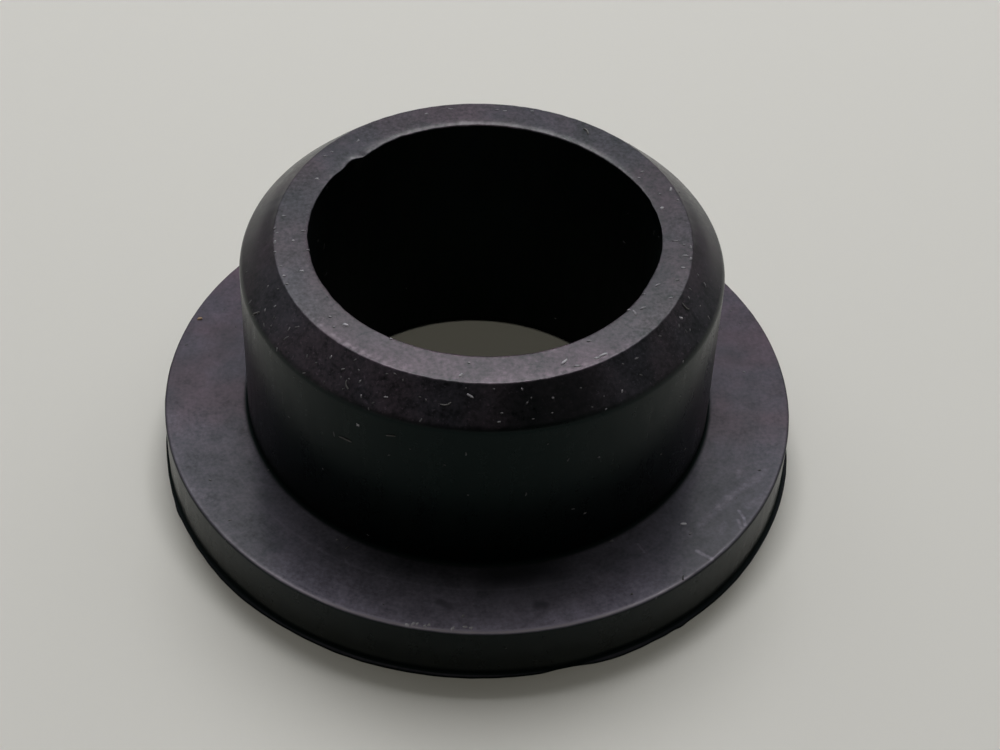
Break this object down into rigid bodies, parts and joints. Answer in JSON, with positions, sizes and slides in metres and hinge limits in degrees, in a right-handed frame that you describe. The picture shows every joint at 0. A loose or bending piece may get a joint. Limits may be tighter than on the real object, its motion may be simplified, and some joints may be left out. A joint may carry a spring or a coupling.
{
  "type": "insulating ring",
  "caption": "Flanged black rubber bush: its round neck with a chamfered nose fits a hole in a panel, the flange seats on the panel, and a pipe or cable passes through the bore.",
  "frame": {"origin": "centre of the flange's underside, on the bore's axis", "axes": "+Z along the bore, from the flange towards the nose; the ring is round, so X and Y are free"},
  "size_m": [0.0508, 0.0506, 0.0215],
  "materials": {
    "rubber": "moulded black rubber, satin on the walls, with a grey bloom and dust on the faces that look up"
  },
  "bodies": {
    "root": {"insulating_ring": "rubber"}
  },
  "joints": []
}
